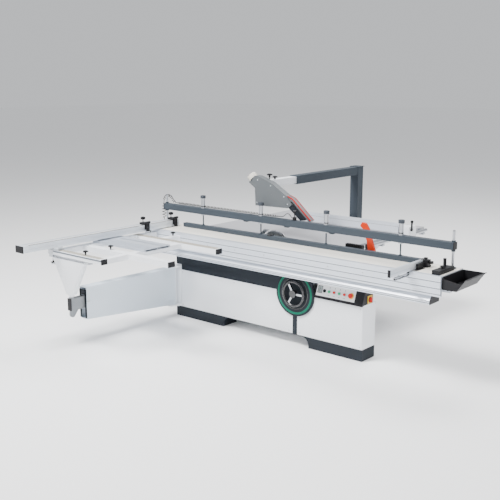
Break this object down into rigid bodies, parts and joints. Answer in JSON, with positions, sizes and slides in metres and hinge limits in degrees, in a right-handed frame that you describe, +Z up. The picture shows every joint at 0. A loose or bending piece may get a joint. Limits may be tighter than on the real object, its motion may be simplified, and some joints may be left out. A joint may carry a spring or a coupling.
{
  "type": "sliding-table panel saw",
  "caption": "Panel saw with sliding carriage, outrigger with crosscut fence, swing arm, air-clamp beam, rip fence and an overhead blade guard on a floor-standing gantry.",
  "frame": {"origin": "on the floor, at the centre of the four anchor holes in the base frame", "axes": "+X along the sliding carriage towards its right end, +Y from the sliding carriage across to the rip side, +Z up"},
  "size_m": [3.486, 3.668, 1.464],
  "materials": {
    "white_paint": "satin powder coat",
    "dark_paint": "satin powder coat",
    "grey_blue_paint": "satin powder coat",
    "table_iron": "ground and waxed",
    "carriage_aluminium": "satin anodised",
    "profile_aluminium": "satin anodised",
    "bare_steel": "ground",
    "motor_paint": "semi-gloss paint",
    "casting_paint": "painted casting",
    "hood_plastic": "moulded, matte",
    "black_plastic": "moulded, matte",
    "red_plastic": "moulded, gloss",
    "green_plastic": "moulded, gloss",
    "orange_plastic": "moulded, gloss",
    "belt_rubber": "matte",
    "hose_plastic": "extruded, gloss"
  },
  "bodies": {
    "machine": {"base_frame": "dark_paint", "cabinet_shell": "white_paint", "rear_body": "white_paint", "left_front_cover": "white_paint", "right_front_cover": "white_paint", "fascia": "dark_paint", "control_housing": "black_plastic", "guide_beam": "profile_aluminium", "main_table": "table_iron", "table_insert": "bare_steel", "extension_table": "table_iron", "table_struts": "white_paint", "trunnions": "casting_paint", "rip_rail": "bare_steel", "stick_holder": "black_plastic", "gantry_post": "grey_blue_paint", "gantry_arm": "grey_blue_paint"},
    "handwheel": {"handwheel": "black_plastic"},
    "selector": {"selector_knob": "black_plastic"},
    "start": {"start_button": "green_plastic"},
    "stop": {"stop_button": "red_plastic"},
    "scoring_start": {"scoring_start_button": "green_plastic"},
    "scoring_stop": {"scoring_stop_button": "red_plastic"},
    "emergency": {"emergency_button": "red_plastic"},
    "main_switch": {"main_switch": "red_plastic"},
    "tilt_unit": {"tilt_frame": "casting_paint", "scoring_unit": "motor_paint"},
    "rise_unit": {"arbor_carrier": "casting_paint", "main_motor": "motor_paint", "riving_knife": "bare_steel", "drive_belt": "belt_rubber"},
    "saw_arbor": {"arbor": "bare_steel", "main_blade": "bare_steel"},
    "motor_shaft": {"motor_pulley": "bare_steel"},
    "scoring_shaft": {"scoring_blade": "bare_steel"},
    "rip_carriage": {"rip_head": "white_paint", "rip_fence": "profile_aluminium"},
    "rip_clamp": {"rip_lever": "black_plastic"},
    "push_stick": {"push_stick": "orange_plastic"},
    "guard_boom": {"gantry_tube": "white_paint"},
    "guard_hood": {"blade_hood": "hood_plastic"},
    "swing_arm": {"swing_arm": "white_paint"},
    "arm_tube": {"arm_tube": "bare_steel"},
    "support_post": {"support_post": "white_paint"},
    "roller_cages": {"roller_cages": "bare_steel"},
    "sliding_table": {"carriage": "carriage_aluminium", "outrigger_frame": "white_paint", "outrigger_panel": "profile_aluminium", "support_rod": "bare_steel", "pressure_beam": "grey_blue_paint", "air_cylinders": "profile_aluminium", "air_hose": "hose_plastic", "end_tray": "dark_paint"},
    "pressure_rail": {"pressure_rail": "grey_blue_paint"},
    "crosscut_fence": {"crosscut_fence": "profile_aluminium"},
    "fence_extension": {"fence_extension": "profile_aluminium"},
    "outer_stop": {"outer_flip_stop": "black_plastic"},
    "inner_stop": {"inner_flip_stop": "black_plastic"},
    "front_stop": {"front_stop": "profile_aluminium", "stop_clamp": "black_plastic"}
  },
  "joints": [
    {"name": "carriage_slide", "type": "slide", "parent": "machine", "child": "sliding_table", "axis": [1, 0, 0], "range_m": [-1.35, 1.45]},
    {"name": "cage_slide", "type": "slide", "parent": "machine", "child": "roller_cages", "axis": [1, 0, 0], "range_m": [-0.68, 0.73]},
    {"name": "arm_swing", "type": "hinge", "parent": "machine", "child": "swing_arm", "pos_m": [-1.105, -0.455, 0.3], "axis": [0, 0, 1], "range_deg": [-64.5, 70]},
    {"name": "arm_extend", "type": "slide", "parent": "swing_arm", "child": "arm_tube", "axis": [0, -1, 0], "range_m": [0, 0.7]},
    {"name": "post_turn", "type": "hinge", "parent": "arm_tube", "child": "support_post", "pos_m": [-1.105, -1.666, 0.5], "axis": [0, 0, 1], "range_deg": [-70, 64.5]},
    {"name": "fence_turn", "type": "hinge", "parent": "sliding_table", "child": "crosscut_fence", "pos_m": [-1.258, -0.42, 0.9], "axis": [0, 0, 1], "range_deg": [0, 45]},
    {"name": "fence_extend", "type": "slide", "parent": "crosscut_fence", "child": "fence_extension", "axis": [0, -1, 0], "range_m": [0, 0.6]},
    {"name": "outer_stop_slide", "type": "slide", "parent": "crosscut_fence", "child": "outer_stop", "axis": [0, 1, 0], "range_m": [-1.2, 0.25]},
    {"name": "inner_stop_slide", "type": "slide", "parent": "crosscut_fence", "child": "inner_stop", "axis": [0, 1, 0], "range_m": [-0.04, 0.03]},
    {"name": "front_stop_slide", "type": "slide", "parent": "sliding_table", "child": "front_stop", "axis": [1, 0, 0], "range_m": [-1.2, 0.09]},
    {"name": "clamp_lift", "type": "slide", "parent": "sliding_table", "child": "pressure_rail", "axis": [0, 0, 1], "range_m": [0, 0.09]},
    {"name": "blade_tilt", "type": "hinge", "parent": "machine", "child": "tilt_unit", "pos_m": [0, -0.11, 0.87], "axis": [-1, 0, 0], "range_deg": [0, 45]},
    {"name": "blade_rise", "type": "slide", "parent": "tilt_unit", "child": "rise_unit", "axis": [0, 0, 1], "range_m": [-0.08, 0.004]},
    {"name": "handwheel_turn", "type": "hinge", "parent": "machine", "child": "handwheel", "pos_m": [0.398, -0.43, 0.476], "axis": [0, -1, 0], "range_deg": [-1440, 73]},
    {"name": "blade_spin", "type": "hinge", "parent": "rise_unit", "child": "saw_arbor", "pos_m": [-0.058, -0.11, 0.771], "axis": [0, 1, 0], "continuous": true},
    {"name": "motor_spin", "type": "hinge", "parent": "rise_unit", "child": "motor_shaft", "pos_m": [-0.058, 0.045, 0.585], "axis": [0, 1, 0], "continuous": true},
    {"name": "scoring_spin", "type": "hinge", "parent": "tilt_unit", "child": "scoring_shaft", "pos_m": [0.205, -0.11, 0.812], "axis": [0, 1, 0], "continuous": true},
    {"name": "selector_turn", "type": "hinge", "parent": "machine", "child": "selector", "pos_m": [0.7, -0.388, 0.54615], "axis": [0, -0.9325, 0.3611], "range_deg": [0, 90]},
    {"name": "start_press", "type": "slide", "parent": "machine", "child": "start", "axis": [0, 0.9325, -0.3611], "range_m": [0, 0.004], "stiffness_N_per_m": 300},
    {"name": "stop_press", "type": "slide", "parent": "machine", "child": "stop", "axis": [0, 0.9325, -0.3611], "range_m": [0, 0.004], "stiffness_N_per_m": 300},
    {"name": "scoring_start_press", "type": "slide", "parent": "machine", "child": "scoring_start", "axis": [0, 0.9325, -0.3611], "range_m": [0, 0.004], "stiffness_N_per_m": 300},
    {"name": "scoring_stop_press", "type": "slide", "parent": "machine", "child": "scoring_stop", "axis": [0, 0.9325, -0.3611], "range_m": [0, 0.004], "stiffness_N_per_m": 300},
    {"name": "emergency_press", "type": "slide", "parent": "machine", "child": "emergency", "axis": [0, 0.9325, -0.3611], "range_m": [0, 0.006]},
    {"name": "main_switch_turn", "type": "hinge", "parent": "machine", "child": "main_switch", "pos_m": [1.09, -0.296, 0.521], "axis": [1, 0, 0], "range_deg": [0, 90]},
    {"name": "rip_slide", "type": "slide", "parent": "machine", "child": "rip_carriage", "axis": [0, 1, 0], "range_m": [-0.87, 0.27]},
    {"name": "rip_lever_turn", "type": "hinge", "parent": "rip_carriage", "child": "rip_clamp", "pos_m": [0.788, 0.915, 0.904], "axis": [1, 0, 0], "range_deg": [0, 80]},
    {"name": "push_stick_lift", "type": "slide", "parent": "machine", "child": "push_stick", "axis": [0, 0, 1], "range_m": [0, 0.1]},
    {"name": "boom_slide", "type": "slide", "parent": "machine", "child": "guard_boom", "axis": [0, 1, 0], "range_m": [0, 0.25]},
    {"name": "hood_lift", "type": "slide", "parent": "guard_boom", "child": "guard_hood", "axis": [0, 0, 1], "range_m": [-0.1, 0.03]}
  ],
  "couplings": [
    {"joint": "cage_slide", "follows": "carriage_slide", "ratio": 0.5},
    {"joint": "arm_swing", "follows": "carriage_slide", "rad_per_m": 0.8258},
    {"joint": "post_turn", "follows": "carriage_slide", "rad_per_m": -0.8258},
    {"joint": "handwheel_turn", "follows": "blade_rise", "rad_per_m": 314.16},
    {"joint": "motor_spin", "follows": "blade_spin", "ratio": 0.8077}
  ]
}
